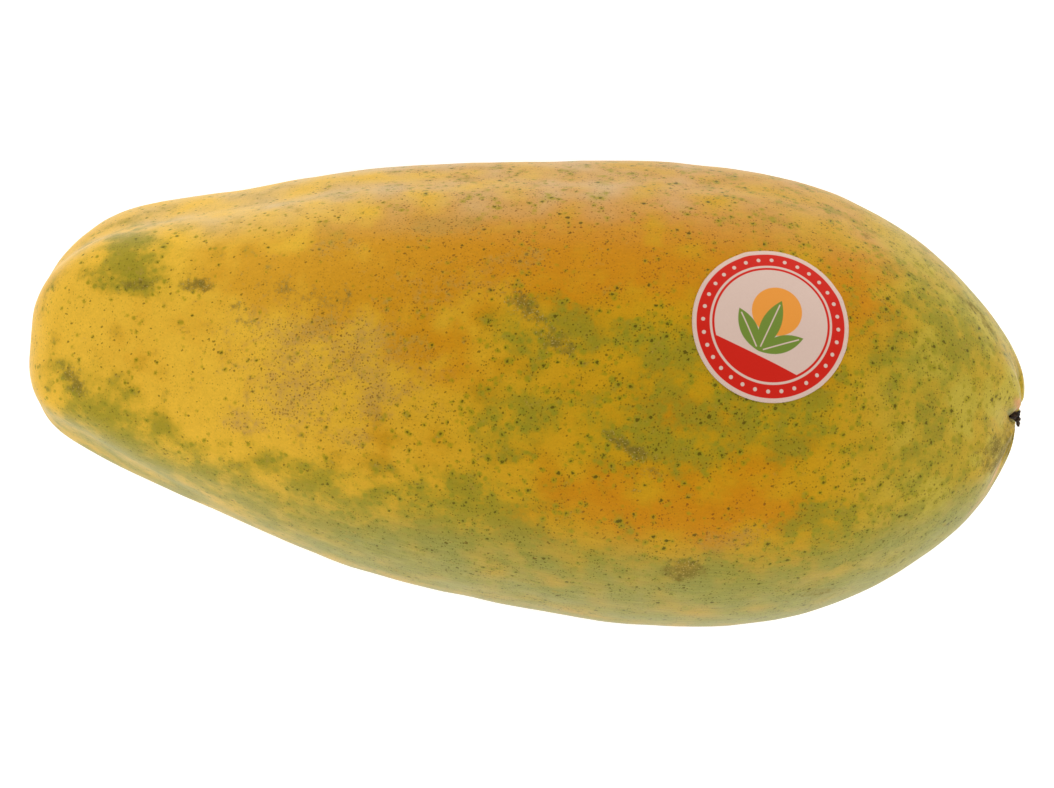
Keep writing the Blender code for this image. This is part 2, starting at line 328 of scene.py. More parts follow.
class PAPAYA_PG_stage(PropertyGroup):
    """Camera, lights and floor."""

    camera_height: length("Camera height", "Camera above the floor", 1500.0)
    camera_roll: angle("Camera roll", "Slope of the fruit's axis in the picture", 5.14)
    lens: number("Lens", "Focal length in millimetres on a 36 mm sensor", 188.1)
    centre_x: length("Centre along", "What the camera looks down on, along the fruit", 1.0)
    centre_y: length("Centre across", "What the camera looks down on, across the fruit", -3.1)
    tent_light: number("Tent light", "Glow of the tent's walls", 1.3)
    opening_light: number("Opening light", "Glow of the tent's opening around the camera", 0.55)
    floor: colour("Floor", "Pale floor", (0.76, 0.76, 0.76))
    floor_glow: number("Floor glow", "Light of the floor itself, as of a white sheet lit from below", 0.6)
    key_power: number("Key light", "Watts of the light on the +Y side", 1.0)
    fill_power: number("Fill light", "Watts of the light on the -Y side", 0.7)


class Wire:
    """A socket's value, which takes part in Python expressions."""

    def __init__(self, paint, socket):
        self.paint = paint
        self.socket = socket

    def __add__(self, other):
        return self.paint.math("ADD", self, other)

    def __radd__(self, other):
        return self.paint.math("ADD", other, self)

    def __sub__(self, other):
        return self.paint.math("SUBTRACT", self, other)

    def __rsub__(self, other):
        return self.paint.math("SUBTRACT", other, self)

    def __mul__(self, other):
        return self.paint.math("MULTIPLY", self, other)

    def __rmul__(self, other):
        return self.paint.math("MULTIPLY", other, self)

    def __truediv__(self, other):
        return self.paint.math("DIVIDE", self, other)

    def __abs__(self):
        return self.paint.math("ABSOLUTE", self)


class Paint:
    """One material and the nodes that make its finish."""

    def __init__(self, name):
        self.material = bpy.data.materials.new(name)
        self.material.use_nodes = True
        self.tree = self.material.node_tree
        self.shader = self.tree.nodes["Principled BSDF"]

    @classmethod
    def over(cls, tree):
        """A paint for a node tree that is there already."""
        made = cls.__new__(cls)
        made.tree = tree
        return made

    def node(self, kind, settings=None, sockets=None):
        """A node of this kind, with its settings first and then its sockets."""
        made = self.tree.nodes.new(kind)
        for name, value in (settings or {}).items():
            setattr(made, name, value)
        for name, value in (sockets or {}).items():
            self.feed(made.inputs[name], value)
        return made

    def feed(self, socket, value):
        if isinstance(value, Wire):
            self.tree.links.new(value.socket, socket)
        else:
            socket.default_value = value

    def wire(self, node, output=0):
        return Wire(self, node.outputs[output])

    def math(self, operation, *values):
        return self.wire(self.node("ShaderNodeMath", {"operation": operation}, dict(enumerate(values))))

    def vector(self, operation, *values):
        made = self.node("ShaderNodeVectorMath", {"operation": operation}, dict(enumerate(values)))
        return self.wire(made)

    def scaled(self, vector, factor):
        sockets = {"Vector": vector, "Scale": factor}
        return self.wire(self.node("ShaderNodeVectorMath", {"operation": "SCALE"}, sockets))

    def larger(self, a, b):
        return self.math("MAXIMUM", a, b)

    def rise(self, value, low, high):
        """0 below low, 1 above high, and smooth between them."""
        made = self.node(
            "ShaderNodeMapRange",
            {"interpolation_type": "SMOOTHSTEP"},
            {"Value": value, "From Min": low, "From Max": high},
        )
        return self.wire(made)

    def mix(self, factor, first, second, blend="MIX"):
        """The first colour, turned into the second as the factor goes to 1."""
        made = self.node("ShaderNodeMix", {"data_type": "RGBA", "blend_type": blend})
        factor_socket, first_socket, second_socket, result_socket = 0, 6, 7, 2
        self.feed(made.inputs[factor_socket], factor)
        for socket, value in ((first_socket, first), (second_socket, second)):
            self.feed(made.inputs[socket], value if isinstance(value, Wire) else (*value, 1.0))
        return self.wire(made, result_socket)

    def coordinates(self):
        """The place on the piece, in millimetres."""
        return self.scaled(self.wire(self.node("ShaderNodeTexCoord"), "Object"), 1.0 / MM)

    def turned(self, at):
        """The place seen slantwise, so that a regular pattern shows no rows along the fruit."""
        return self.wire(self.node("ShaderNodeMapping", None, {"Vector": at, "Rotation": SPECK_SLANT}))

    def label_place(self):
        """The place on the flat label, in millimetres."""
        made = self.node("ShaderNodeUVMap", {"uv_map": "print"})
        return self.scaled(self.wire(made), MM_PER_CM)

    def grey(self, value):
        """The value as a colour without hue."""
        sockets = {"Red": value, "Green": value, "Blue": value}
        return self.wire(self.node("ShaderNodeCombineColor", None, sockets))

    def direction(self):
        """Where a ray of the room's light comes from."""
        return self.wire(self.node("ShaderNodeTexCoord"), "Generated")

    def attribute(self, name):
        return self.wire(self.node("ShaderNodeAttribute", {"attribute_name": name}), "Fac")

    def noise(self, at, size, detail=2.0, roughness=0.5):
        """Smooth noise whose blobs are about this many millimetres wide."""
        sockets = {"Vector": at, "Scale": 1.0 / size, "Detail": detail, "Roughness": roughness}
        return self.wire(self.node("ShaderNodeTexNoise", None, sockets))

    def specks(self, at, spacing, radius, edge, kept=1.0):
        """Round specks of unlike sizes, the distance to the nearest, and whether it is kept."""
        cells = self.node("ShaderNodeTexVoronoi", None, {"Vector": at, "Scale": 1.0 / spacing})
        away = self.wire(cells, "Distance") * spacing
        chance = self.node("ShaderNodeSeparateColor", None, {"Color": self.wire(cells, "Color")})
        size = radius * (0.45 + self.wire(chance, 0))
        there = self.math("LESS_THAN", self.wire(chance, 1), kept)
        return (1.0 - self.rise(away, size - edge, size)) * there, away, there

    def bump(self, height, strength=1.0):
        """A normal from a height in millimetres."""
        made = self.node("ShaderNodeBump", None, {"Height": height, "Strength": strength, "Distance": MM})
        return self.wire(made)

    def finish(self, **sockets):
        """Feeds the shader's own sockets, by their names in lower case."""
        for name, value in sockets.items():
            socket = self.shader.inputs[name.replace("_", " ").title().replace("Ior", "IOR")]
            self.feed(socket, value)
        return self.material


def add_object(name, mesh):
    made = bpy.data.objects.new(name, mesh)
    bpy.context.scene.collection.objects.link(made)
    return made


def merged(node):
    """The node's mesh as one connected skin of mostly four-sided faces."""
    skin = bmesh.new()
    skin.from_mesh(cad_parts[node].data)
    bmesh.ops.remove_doubles(skin, verts=skin.verts, dist=WELD_DISTANCE)
    bmesh.ops.join_triangles(
        skin,
        faces=skin.faces,
        angle_face_threshold=math.radians(PAIR_BEND_DEG),
        angle_shape_threshold=math.radians(PAIR_SKEW_DEG),
    )
    return skin


def subdivided(skin, name, levels):
    """A smooth mesh from the coarse one, with the subdivision applied."""
    coarse = bpy.data.meshes.new(name)
    skin.to_mesh(coarse)
    skin.free()
    holder = add_object(name, coarse)
    smooth = holder.modifiers.new("Smooth", "SUBSURF")
    smooth.levels = levels
    smooth.render_levels = levels
    evaluated = holder.evaluated_get(bpy.context.evaluated_depsgraph_get())
    mesh = bpy.data.meshes.new_from_object(evaluated)
    bpy.data.objects.remove(holder)
    bpy.data.meshes.remove(coarse)
    mesh.name = name
    mesh.materials.clear()
    mesh.shade_smooth()
    return mesh


def vertex_vectors(mesh, what):
    """The vertices' places or normals as an array of rows."""
    source = mesh.vertices if what == "co" else mesh.vertex_normals
    values = np.empty(len(mesh.vertices) * 3, np.float32)
    source.foreach_get(what, values)
    return values.reshape(-1, 3).astype(float)


def move_vertices(mesh, places):
    mesh.vertices.foreach_set("co", places.astype(np.float32).ravel())
    mesh.update()


def paint_vertices(mesh, name, values):
    layer = mesh.attributes.new(name, "FLOAT", "POINT")
    layer.data.foreach_set("value", np.clip(values, 0.0, 1.0).astype(np.float32))


def lumps(places, size, seed=0.0, octaves=1):
    """Noise from about -1 to 1 at each place, with lumps of this size.

    Each further octave is half as wide and half as high as the one before.
    """
    shift = Vector((seed, 2.0 * seed, 3.0 * seed))
    decay, gap = 1.0, 2.0
    spots = (Vector(place) / size + shift for place in places)
    return np.array([noise.fractal(spot, decay, gap, octaves) for spot in spots])


def hump(value, centre, spread):
    """1 at the centre, falling smoothly to 0 on both sides."""
    return np.exp(-(((value - centre) / spread) ** 2))


def oval(along, across):
    """1 in the middle of an oval, about half at its edge and 0 well outside it."""
    return np.exp(-0.7 * (along**2 + across**2) ** 1.4)


def climb(value, low, high):
    """0 below low, 1 above high, and smooth between them."""
    part = np.clip((value - low) / (high - low), 0.0, 1.0)
    return part * part * (3.0 - 2.0 * part)


class Fruit:
    """Where each vertex of the skin lies in the fruit's own directions."""

    def __init__(self, mesh, form):
        self.places = vertex_vectors(mesh, "co")
        self.normals = vertex_vectors(mesh, "vector")
        unpitch = np.array(Matrix.Rotation(form.rest_pitch, 3, "Y"))
        own = self.places @ unpitch.T
        low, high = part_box("blossom_remnant")
        pit = unpitch @ np.array((low + high) / 2.0)
        self.from_stem = own[:, 0] - own[:, 0].min()
        self.from_tip = own[:, 0].max() - own[:, 0]
        self.off_pit, self.around_pit = self.polar(own, pit[1], pit[2])
        self.off_scar, self.around_scar = self.polar(own, pit[1] - form.stem_side, pit[2])
        # Both are 1 on the upper half and fade to 0 below it.
        self.front = climb(self.normals[:, 2], -0.4, -0.05)
        self.above = climb(self.normals[:, 2], -0.6, 0.0)

    @staticmethod
    def polar(own, y, z):
        """The distance from a line along the fruit, and the turn round it from the top."""
        side, up = own[:, 1] - y, own[:, 2] - z
        return np.hypot(side, up), np.arctan2(side, up)

    def turn_from(self, degrees):
        """The turn round the pit from the given one, at most half a turn either way."""
        return (self.around_pit - math.radians(degrees) + math.pi) % (2.0 * math.pi) - math.pi

    def marks(self, rows):
        """How strongly the marks cover each vertex of the side shown."""
        bare = np.ones(len(self.places))
        for x, y, half_length, half_width, turn, strength in rows:
            turn = math.radians(turn)
            dx, dy = self.places[:, 0] / MM - x, self.places[:, 1] / MM - y
            along = (dx * math.cos(turn) + dy * math.sin(turn)) / half_length
            across = (dy * math.cos(turn) - dx * math.sin(turn)) / half_width
            bare *= 1.0 - strength * self.front * oval(along, across)
        return 1.0 - bare

    def nose_marks(self, rows):
        """How strongly the marks around the blossom pit cover each vertex."""
        bare = np.ones(len(self.places))
        near = self.from_tip < NOSE_MARK_REACH
        off_pit = self.off_pit / MM
        for distance, turn, half_length, half_width, strength in rows:
            along = (off_pit - distance) / half_length
            across = self.turn_from(turn) * off_pit / half_width
            bare *= 1.0 - strength * near * oval(along, across)
        return 1.0 - bare

    def off_valley(self, wander):
        """The distance round to the nearest valley between two lobes."""
        turn = 2.0 * math.pi / LOBES
        valley = math.radians(FIRST_VALLEY_DEG)
        off = (self.around_pit + wander - valley + turn / 2.0) % turn - turn / 2.0
        return off * self.off_pit


def skin_relief(fruit, form):
    """Height over the smooth skin, in metres, with no dents on the stem end's scar."""
    dents = lumps(fruit.places, form.dent_size, seed=3.1, octaves=2)
    ripples = lumps(fruit.places, form.ripple_size, seed=8.7, octaves=2)
    body = climb(fruit.off_scar, *SCAR_FADE) + climb(fruit.from_stem, *STEM_FADE)
    relief = dents * form.dent_depth * np.clip(body, 0.0, 1.0) + ripples * form.ripple_depth
    relief -= form.nose_inset * (1.0 - climb(fruit.from_tip, *TIP_FADE))
    return relief + valley_relief(fruit, form) + pit_relief(fruit, form) + scar_relief(fruit)


def valley_relief(fruit, form):
    """Raises the closed valleys between the pit and the fruit's widest part."""
    relief = np.zeros(len(fruit.places))
    fade_in = 6.0
    for turn, start in CLOSED_VALLEYS:
        out = climb(fruit.off_pit, start * MM, (start + fade_in) * MM)
        out *= 1.0 - climb(fruit.off_pit, *VALLEY_FADE)
        out *= climb(fruit.from_stem, *NECK_FADE)
        relief += form.valley_fill * out * hump(fruit.turn_from(turn), 0.0, form.valley_fill_width)
    return relief


def pit_relief(fruit, form):
    """Sharp creases with raised lips along the valleys, and small folds round the pit."""
    wander = 0.12 * lumps(fruit.places, 6.0 * MM, seed=5.3)
    off_valley = fruit.off_valley(wander)
    fade = 1.0 - climb(fruit.off_pit, 0.35 * form.crease_reach, form.crease_reach)
    crease = hump(off_valley, 0.0, form.crease_width) * fade
    lip = hump(np.abs(off_valley), 2.2 * form.crease_width, form.crease_width) * fade
    relief = (0.3 * lip - crease) * form.crease_depth * climb(fruit.off_pit, *BOTTOM_EDGE)
    fold_count = 23.0
    folds = np.cos(fold_count * fruit.around_pit + 9.0 * wander)
    relief += folds * form.pucker_depth * hump(fruit.off_pit, 8.0 * MM, 6.0 * MM)
    return relief * (fruit.from_tip < NOSE_REACH)


def scar_relief(fruit):
    """Rough cork with shallow rays on the scar of the stalk."""
    cork = lumps(fruit.places, 1.6 * MM, seed=1.9, octaves=3)
    ray_count = 17.0
    rays = np.cos(ray_count * fruit.around_scar + 5.0 * cork)
    ring = hump(fruit.off_scar, 4.0 * MM, 3.2 * MM)
    return (fruit.from_stem < SCAR_REACH) * ring * (0.25 * cork + 0.12 * rays) * MM


def paint_skin(mesh, fruit):
    """Leaves on each vertex what covers the skin there, as attributes from 0 to 1."""
    broad = lumps(fruit.places, 11.0 * MM, seed=21.0, octaves=2)
    coarse = lumps(fruit.places, 4.5 * MM, seed=33.0, octaves=2)
    tip = climb(fruit.places[:, 0] / MM, *NOSE_START)
    layers = {
        **ripeness(fruit, broad, coarse, tip),
        **side_tones(fruit, broad, tip),
        **blemishes(fruit, coarse),
        **end_tones(fruit),
    }
    for name, values in layers.items():
        paint_vertices(mesh, name, values)


def ripeness(fruit, broad, coarse, tip):
    """How green and how warm the ground is, and how crowded its pores are."""
    x, y = fruit.places[:, 0] / MM, fruit.places[:, 1] / MM
    back = 1.0 - fruit.front
    wide = lumps(fruit.places, 38.0 * MM, seed=12.0, octaves=2)
    body = climb(x, *NECK_END)
    clear = fruit.marks(CLEAR_MARKS)
    ground = 0.26 + 0.20 * climb(x, *GREENING) + 0.34 * climb(-fruit.normals[:, 1], 0.25, 0.75)
    ground = ground * (1.0 - clear) * fruit.front + back * (0.52 + 0.5 * wide)
    green = 1.0 - (1.0 - ground) * (1.0 - fruit.marks(GREEN_MARKS) * (1.0 - 0.35 * clear))
    warm = 0.27 + 0.12 * climb(y, 0.0, 30.0) + 0.35 * back * lumps(fruit.places, 30.0 * MM, seed=4.4)
    warm = (1.0 - (1.0 - warm) * (1.0 - fruit.marks(WARM_MARKS))) * (1.0 - 0.7 * tip)
    return {
        "green": 0.5 + (green - 0.5) * 0.68 + 0.27 * broad + 0.32 * coarse,
        "warm": 0.5 + (warm - 0.5) * 0.55 + (0.35 * broad + 0.15 * coarse) * (0.6 + 0.4 * body),
        "ripe": climb(x, *RIPENING),
        "fresh": tip * (0.45 + 0.45 * climb(broad, 0.1, -0.3)),
        "crowd": (0.3 + 0.7 * climb(x, *CROWDING)) * climb(coarse, -0.5 - 0.3 * tip, 0.3),
    }


def side_tones(fruit, broad, tip):
    """Painted sheen as a pale tint on the side facing the key light, and the pale green of the other
    side, partly its own green and partly painted sheen.
    """
    x = fruit.places[:, 0] / MM
    facing_key_light = fruit.normals[:, 1]
    # Painted sheen: pale where the skin faces +Y towards the key light, on the upper half, mottled.
    painted_sheen = climb(facing_key_light, 0.55, 1.0) * fruit.above * (0.34 + 0.4 * broad)
    # The -Y side's pale green on the upper half, partly the fruit's own green and partly painted sheen
    # along that side.
    green_side_and_sheen = climb(-facing_key_light, 0.5 - 0.25 * tip, 0.9 - 0.15 * tip) * fruit.above
    green_side_and_sheen *= (0.9 + 0.5 * broad) * (0.6 + 0.4 * climb(x, *NECK_END))
    return {
        "painted_sheen": painted_sheen * (1.0 - 0.5 * climb(x, *PAINTED_SHEEN_END)),
        "green_side_and_sheen": np.maximum(green_side_and_sheen, 0.1 * tip),
    }


def blemishes(fruit, coarse):
    """Netting, rubbed places and healed scars."""
    back = 1.0 - fruit.front
    spots = climb(lumps(fruit.places, 13.0 * MM, seed=7.7), 0.45, 0.75) * back
    russet = 1.0 - (1.0 - spots * 0.9) * (1.0 - fruit.marks(RUSSET_MARKS))
    rubs = climb(lumps(fruit.places * (0.5, 1.0, 1.0), 6.0 * MM, seed=2.6), 0.55, 0.8) * back
    unrubbed = (1.0 - rubs) * (1.0 - fruit.marks(SCUFF_MARKS)) * (1.0 - fruit.nose_marks(NOSE_SCUFFS))
    scuff = 1.0 - unrubbed
    return {
        "russet": 0.5 + (russet - 0.5) * 0.6 + 0.25 * coarse,
        "netted": russet,
        "scuff": 0.5 + (scuff - 0.5) * 0.75 + 0.25 * coarse,
        "pink": fruit.nose_marks(NOSE_SCARS) * climb(coarse, -0.6, 0.1),
    }


def end_tones(fruit):
    """The cork of the pit and of the scar, and their dark bottoms."""
    ragged = lumps(fruit.places, 2.5 * MM, seed=14.0, octaves=2) * MM
    nose, stem = fruit.from_tip < PIT_REACH, fruit.from_stem < SCAR_REACH
    pit = nose * (1.0 - climb(fruit.off_pit + ragged, *PIT_CORK))
    scar = stem * (1.0 - climb(fruit.off_scar + 1.5 * ragged, *SCAR_CORK))
    pit_bottom = nose * (1.0 - climb(fruit.off_pit, *BOTTOM_EDGE))
    scar_bottom = stem * (1.0 - climb(fruit.off_scar + ragged, *BOTTOM_EDGE))
    scar_rim = 0.45 * stem * hump(fruit.off_scar + 1.5 * ragged, 6.4 * MM, 0.8 * MM)
    return {"cork": pit + scar, "deep": pit_bottom + scar_bottom + scar_rim}


def skin_paint(colours):
    """Ripe yellow and orange skin, mottled green, with pores, netting and scuffs."""
    paint = Paint("papaya_skin")
    at = paint.coordinates()
    fine = paint.noise(at, MOTTLE_SIZE, detail=2.0, roughness=0.6) - 0.5
    grain = paint.noise(at, GRAIN_SIZE, detail=1.0) - 0.5
    crowd = paint.attribute("crowd")
    green_side_and_sheen = paint.attribute("green_side_and_sheen")
    green_share = paint.attribute("green")
    uneven = paint.turned(paint.vector("ADD", at, paint.scaled(SPECK_PUSH, grain + 1.2 * fine)))
    streaks = paint.noise(paint.vector("MULTIPLY", at, STREAK_STRETCH), STREAK_WIDTH)

    # The ripe ground, warmer in places, with painted sheen as a pale tint along the +Y side and a pale
    # green along the -Y side that is partly its own green and partly painted sheen.
    warm = paint.rise(paint.attribute("warm") + 0.25 * fine, 0.34, 0.72)
    ripe = paint.attribute("ripe")
    ground = paint.mix(ripe, colours.yellow, colours.amber)
    ground = paint.mix(paint.attribute("fresh"), ground, colours.fresh)
    ground = paint.mix(warm * (0.5 + 0.5 * ripe), ground, colours.orange)
    # Pale green on the -Y side, partly the fruit's own green and partly painted sheen.
    ground = paint.mix(green_side_and_sheen * 0.9, ground, colours.pale)
    # Painted sheen laid over the ground as a pale tint along the side facing the key light.
    ground = paint.mix(paint.attribute("painted_sheen"), ground, colours.painted_sheen)

    # Unripe patches, and green halos around the larger pores.
    kept = 0.3 + 0.55 * crowd + 0.45 * green_share
    spots, spot_away, spot_there = paint.specks(uneven, SPOT_SPACING, 0.26 + 0.2 * crowd, 0.22, kept)
    halo = (1.0 - paint.rise(spot_away, 0.1, 0.75 + 0.65 * crowd)) * spot_there
    cover = green_share + 0.6 * fine
    green = paint.rise(cover + 0.5 * halo, 0.34, 1.0)
    unripe = paint.mix(paint.rise(cover, 0.5, 0.85), colours.olive, colours.leaf)
    # The unripe patches also turn to the -Y side's pale green, partly their own green and partly painted
    # sheen.
    unripe = paint.mix(green_side_and_sheen * 0.55, unripe, colours.pale)
    skin = paint.mix(green * 0.8, ground, unripe)
    skin = paint.mix(halo * (0.55 - 0.45 * warm), skin, unripe)

    # Pores of three sizes.
    dot_colour = paint.mix(warm * ripe * (1.0 - green), colours.green_dot, colours.brown_dot)
    dots, _, _ = paint.specks(uneven, DOT_SPACING, 0.29, 0.16, 0.2 + crowd)
    pins, _, _ = paint.specks(at, PIN_SPACING, 0.22, 0.2, 0.95)
    skin = paint.mix(pins * (0.2 + 0.6 * crowd + 0.2 * green), skin, dot_colour)
    skin = paint.mix(dots * 0.7, skin, dot_colour)
    skin = paint.mix(spots * (0.85 + 0.1 * crowd), skin, dot_colour)

    # Netting, rubbed places, scars and cork lie over the pores.
    netting = paint.rise(paint.attribute("russet") + 1.2 * fine, 0.3, 0.95)
    tan = paint.mix(ripe, colours.tan, colours.russet)
    skin = paint.mix(netting * (0.7 + 1.6 * grain), skin, tan)
    stipple, _, _ = paint.specks(uneven, STIPPLE_SPACING, 0.26, 0.2)
    skin = paint.mix(paint.larger(pins, stipple) * paint.attribute("netted"), skin, colours.russet_dot)
    rubbed = paint.rise(paint.attribute("scuff") + 1.1 * fine + 0.5 * grain, 0.36, 0.95)
    skin = paint.mix(rubbed * 0.8, skin, colours.scuff)
    flecks = paint.rise(grain, 0.1, 0.2) * rubbed
    skin = paint.mix(flecks * 0.55, skin, colours.fleck)
    skin = paint.mix(paint.attribute("pink") * (0.7 + 0.8 * fine), skin, colours.pink)
    corky = paint.attribute("cork")
    skin = paint.mix(corky * (0.8 + 0.8 * fine), skin, colours.cork)
    skin = paint.mix(corky * paint.rise(fine + 0.4 * grain, 0.02, 0.25) * 0.6, skin, colours.hollow)
    skin = paint.mix(paint.attribute("deep") * 0.8, skin, colours.hollow)

    # Fine changes of tone over all of it; the lengthwise streaks are strongest on the -Y side, where they
    # are streaks of painted sheen.
    tone = 1.0 + 0.22 * grain + 0.2 * fine + (0.12 + 0.4 * green_side_and_sheen) * (streaks - 0.5)
    skin = paint.mix(1.0, skin, paint.grey(tone), "MULTIPLY")

    relief = 0.02 + 0.1 * paint.attribute("scuff") * corky
    return paint.finish(
        base_color=skin,
        roughness=0.4 + 0.22 * rubbed + 0.12 * netting + 0.3 * corky,
        normal=paint.bump(relief * grain + 0.035 * streaks),
        specular_ior_level=0.07,
        sheen_weight=0.06,
        sheen_roughness=0.3,
    )


def remnant_paint(colours):
    """Dry, dark brown and fibrous."""
    paint = Paint("dried_remnant")
    at = paint.coordinates()
    fibres = paint.noise(paint.vector("MULTIPLY", at, FIBRE_STRETCH), 0.35, detail=4.0)
    lumpy = paint.noise(at, 0.8, detail=3.0)
    brown = paint.mix(paint.rise(fibres, 0.4, 0.7), colours.dry_dark, colours.dry_brown)
    return paint.finish(
        base_color=paint.mix(paint.rise(lumpy, 0.6, 0.75), brown, colours.dry_tan),
        roughness=0.65 + 0.25 * fibres,
        normal=paint.bump(0.12 * fibres + 0.1 * lumpy),
    )


def label_paint(label):
    """A plain printed label: red band with cream dots, gold disc, three leaves."""
    paint = Paint("label_paper")
    place = paint.node("ShaderNodeSeparateXYZ", None, {"Vector": paint.label_place()})
    across, up = paint.wire(place, 0), paint.wire(place, 1)
    # Sizes of the print in millimetres, from the label's middle; leaves lean in degrees.
    blur = 0.09
    line_radius, line_half_width = 14.7, 0.3
    band_inside, band_outside = 15.6, 18.9
    bead_count, bead_radius, bead_ring = 32, 0.5, (band_inside + band_outside) / 2.0
    foot_top = -9.0
    disc_up, disc_radius = 3.4, 6.4
    leaf_root, rib_half_width, rib_gap = -8.0, 0.16, 1.2
    leaves = ((0.0, 14.5, 5.0), (-48.0, 12.0, 4.4), (48.0, 12.0, 4.4))

    def inside(distance):
        """1 where the distance to a shape's edge is above 0."""
        return paint.rise(distance, -blur, blur)

    def off(a, b):
        return paint.math("SQRT", a * a + b * b)

    def leaf(lean, leaf_length, leaf_width):
        lean = math.radians(lean)
        along = across * math.sin(lean) + (up - leaf_root) * math.cos(lean) - leaf_length / 2.0
        side = across * math.cos(lean) - (up - leaf_root) * math.sin(lean)
        reach = along / (leaf_length / 2.0)
        blade = inside(leaf_width / 2.0 * (1.0 - reach * reach) - abs(side))
        rib = inside(rib_half_width - abs(side)) * inside(leaf_length / 2.0 - rib_gap - abs(along))
        return blade, rib

    out = off(across, up)
    turn = paint.math("ARCTAN2", up, across)
    band = inside(out - band_inside) * inside(band_outside - out)
    half_step = math.pi / bead_count
    along_ring = paint.math("PINGPONG", turn + math.pi, half_step) * bead_ring
    bead = inside(bead_radius - off(along_ring, out - bead_ring))
    foot = inside(foot_top - up) * inside(line_radius - out)
    line = inside(line_half_width - abs(out - line_radius))
    disc = inside(disc_radius - off(across, up - disc_up))

    red = paint.larger(band * (1.0 - bead), paint.larger(foot, line))
    grain = paint.noise(paint.coordinates(), 0.45, detail=3.0)
    paper = paint.mix(grain * 0.25, label.ground, label.fibre)
    ink = paint.mix(disc, paper, label.gold)
    for lean, leaf_length, leaf_width in leaves:
        blade, rib = leaf(lean, leaf_length, leaf_width)
        ink = paint.mix(blade, ink, label.green)
        ink = paint.mix(rib, ink, paper)
    ink = paint.mix(red, ink, label.red)
    fibres = paint.noise(paint.vector("MULTIPLY", paint.coordinates(), PAPER_STRETCH), 1.2)
    return paint.finish(
        base_color=ink,
        roughness=0.42 + 0.14 * grain,
        normal=paint.bump(0.012 * grain + 0.03 * fibres),
        specular_ior_level=0.15,
    )


class PAPAYA_OT_skin(Operator):
    """Makes the fruit's fine skin from its solid"""

    bl_idname = "papaya.skin"
    bl_label = "Skin"

    def execute(self, context):
        form = context.scene.papaya_form
        mesh = subdivided(merged("papaya"), "papaya_skin", form.smoothness)
        fruit = Fruit(mesh, form)
        off_floor = climb(fruit.places[:, 2], 0.0, 2.0 * MM)
        relief = skin_relief(fruit, form) * off_floor
        move_vertices(mesh, fruit.places + fruit.normals * relief[:, None])
        paint_skin(mesh, fruit)
        piece = add_object("papaya_skin", mesh)
        mesh.materials.append(skin_paint(context.scene.papaya_colours))
        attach(piece, "root")
        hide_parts("papaya")
        return {"FINISHED"}


class PAPAYA_OT_remnant(Operator):
    """Makes the dried flower remnant in the blossom pit"""

    bl_idname = "papaya.remnant"
    bl_label = "Flower remnant"

    def execute(self, context):
        form = context.scene.papaya_form
        mesh = subdivided(merged("blossom_remnant"), "dried_flower", form.smoothness + 1)
        places = vertex_vectors(mesh, "co")
        normals = vertex_vectors(mesh, "vector")
        crumple = form.crumple_depth * lumps(places, form.crumple_size, seed=6.1, octaves=3)
        move_vertices(mesh, places + normals * crumple[:, None])
        piece = add_object("dried_flower", mesh)
        mesh.materials.append(remnant_paint(context.scene.papaya_colours))
        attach(piece, "root")
        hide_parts("blossom_remnant")
        return {"FINISHED"}


class PAPAYA_OT_label(Operator):
    """Lays the printed label on the skin"""

    bl_idname = "papaya.label"
    bl_label = "Label"

    def execute(self, context):
        label = context.scene.papaya_label
        skin = bpy.data.objects.get("papaya_skin")
        if skin is None:
            raise RuntimeError("the skin comes before the label")
        disc = bmesh.new()
        bmesh.ops.create_circle(disc, cap_ends=True, segments=label.sides, radius=label.radius)
        disc.faces.ensure_lookup_table()
        middle = disc.faces[0]
        step = label.radius / (label.rings + 1)
        for _ in range(label.rings):
            bmesh.ops.inset_region(disc, faces=[middle], thickness=step, use_boundary=True)
        bmesh.ops.poke(disc, faces=[middle])
        self.keep_print_places(disc)
        self.lay_on(disc, skin, label)
        mesh = bpy.data.meshes.new("round_label")
        disc.to_mesh(mesh)
        disc.free()
        mesh.shade_smooth()
        piece = add_object("round_label", mesh)
        paper = piece.modifiers.new("Paper", "SOLIDIFY")
        paper.thickness = label.thickness
        paper.offset = 1.0
        mesh.materials.append(label_paint(label))
        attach(piece, "root")
        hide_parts("label")
        return {"FINISHED"}

    @staticmethod
    def keep_print_places(disc):
        """Notes each corner's place on the flat label in its UV map, in centimetres."""
        print_map = disc.loops.layers.uv.new("print")
        for face in disc.faces:
            for corner in face.loops:
                corner[print_map].uv = corner.vert.co.xy / (MM * MM_PER_CM)

    @staticmethod
    def lay_on(disc, skin, label):
        """Drops the flat disc on the skin where the label's solid is."""
        places = vertex_vectors(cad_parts["label"].data, "co")
        middle = Vector(places.mean(axis=0))
        tree = BVHTree.FromPolygons(
            [v.co for v in skin.data.vertices], [p.vertices[:] for p in skin.data.polygons]
        )
        _, facing, _, _ = tree.find_nearest(middle)
        ahead = Vector((1.0, 0.0, 0.0))
        side = facing.cross(ahead).normalized()
        ahead = side.cross(facing)
        turned = Matrix((ahead, side, facing)).transposed() @ Matrix.Rotation(label.turn, 3, "Z")
        drop = facing * 30.0 * MM
        fold_count, flat_share = 7.0, 0.72
        for vertex in disc.verts:
            flat = vertex.co.copy()
            landed, up, _, _ = tree.ray_cast(middle + turned @ flat + drop, -facing)
            around = math.atan2(flat.y, flat.x)
            edge = (flat.length / label.radius) ** 6
            wave = math.sin(fold_count * around + 2.0 * math.sin(2.0 * around))
            folds = max(0.0, wave - flat_share) / (1.0 - flat_share)
            vertex.co = landed + up * (label.glue + label.wrinkle * edge * folds)


